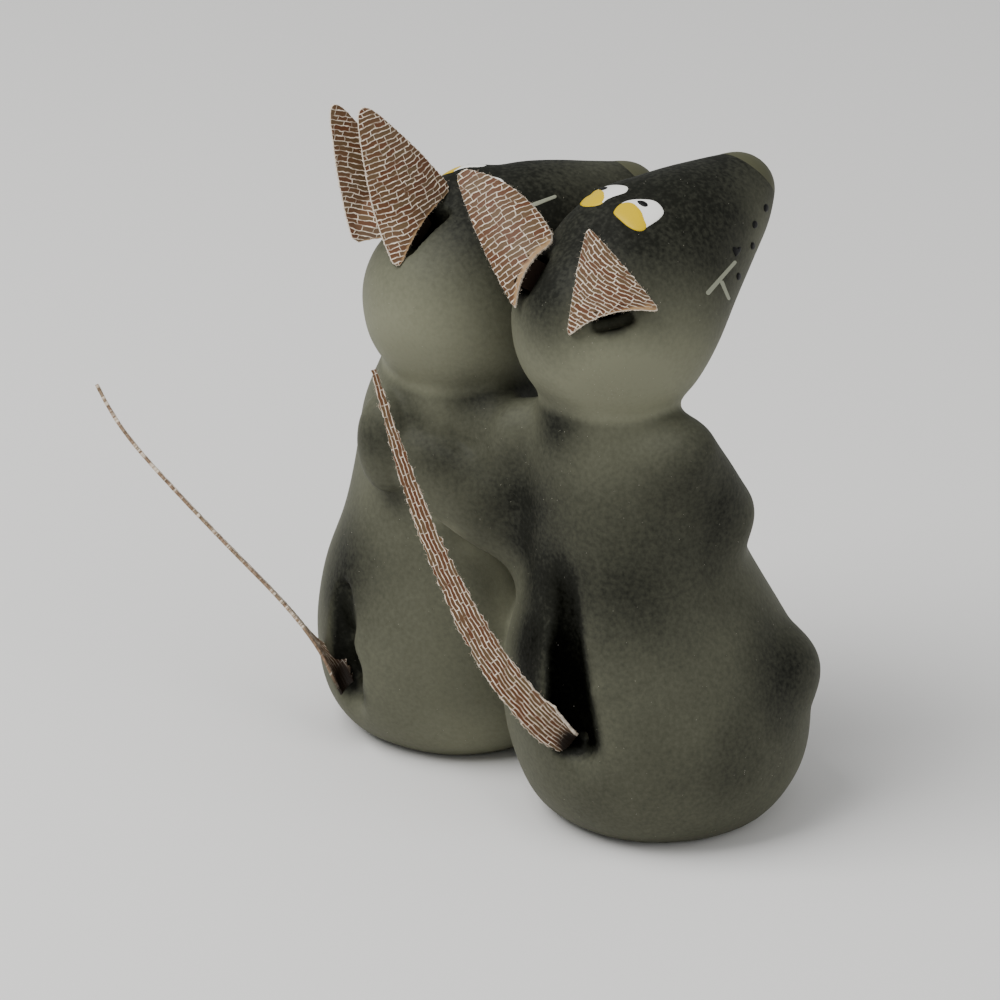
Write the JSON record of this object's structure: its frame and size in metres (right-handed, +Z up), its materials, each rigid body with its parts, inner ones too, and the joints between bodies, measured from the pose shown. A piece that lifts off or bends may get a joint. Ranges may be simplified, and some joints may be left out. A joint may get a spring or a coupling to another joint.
{
  "type": "animal figurine",
  "caption": "Ceramic figurine of two cuddling mice, cheek to cheek, with leather ears and long leather tails.",
  "frame": {"origin": "centre of the hugging mouse's flat seat, on the table", "axes": "+Z up, both mice face -Y, and the hugged mouse sits on the +X side"},
  "size_m": [0.1187, 0.0703, 0.1125],
  "materials": {
    "clay": "matt, nearly black with olive patches",
    "leather": "brown, embossed with pale-edged scales"
  },
  "bodies": {
    "root": {"hugging_mouse_body": "clay", "hugging_mouse_head": "clay", "hugging_mouse_right_arm": "clay", "hugging_mouse_left_arm": "clay", "hugging_mouse_tail": "leather", "hugging_mouse_right_ear": "leather", "hugging_mouse_left_ear": "leather", "hugged_mouse_body": "clay", "hugged_mouse_head": "clay", "hugged_mouse_left_arm": "clay", "hugged_mouse_tail": "leather", "hugged_mouse_right_ear": "leather", "hugged_mouse_left_ear": "leather"}
  },
  "joints": []
}
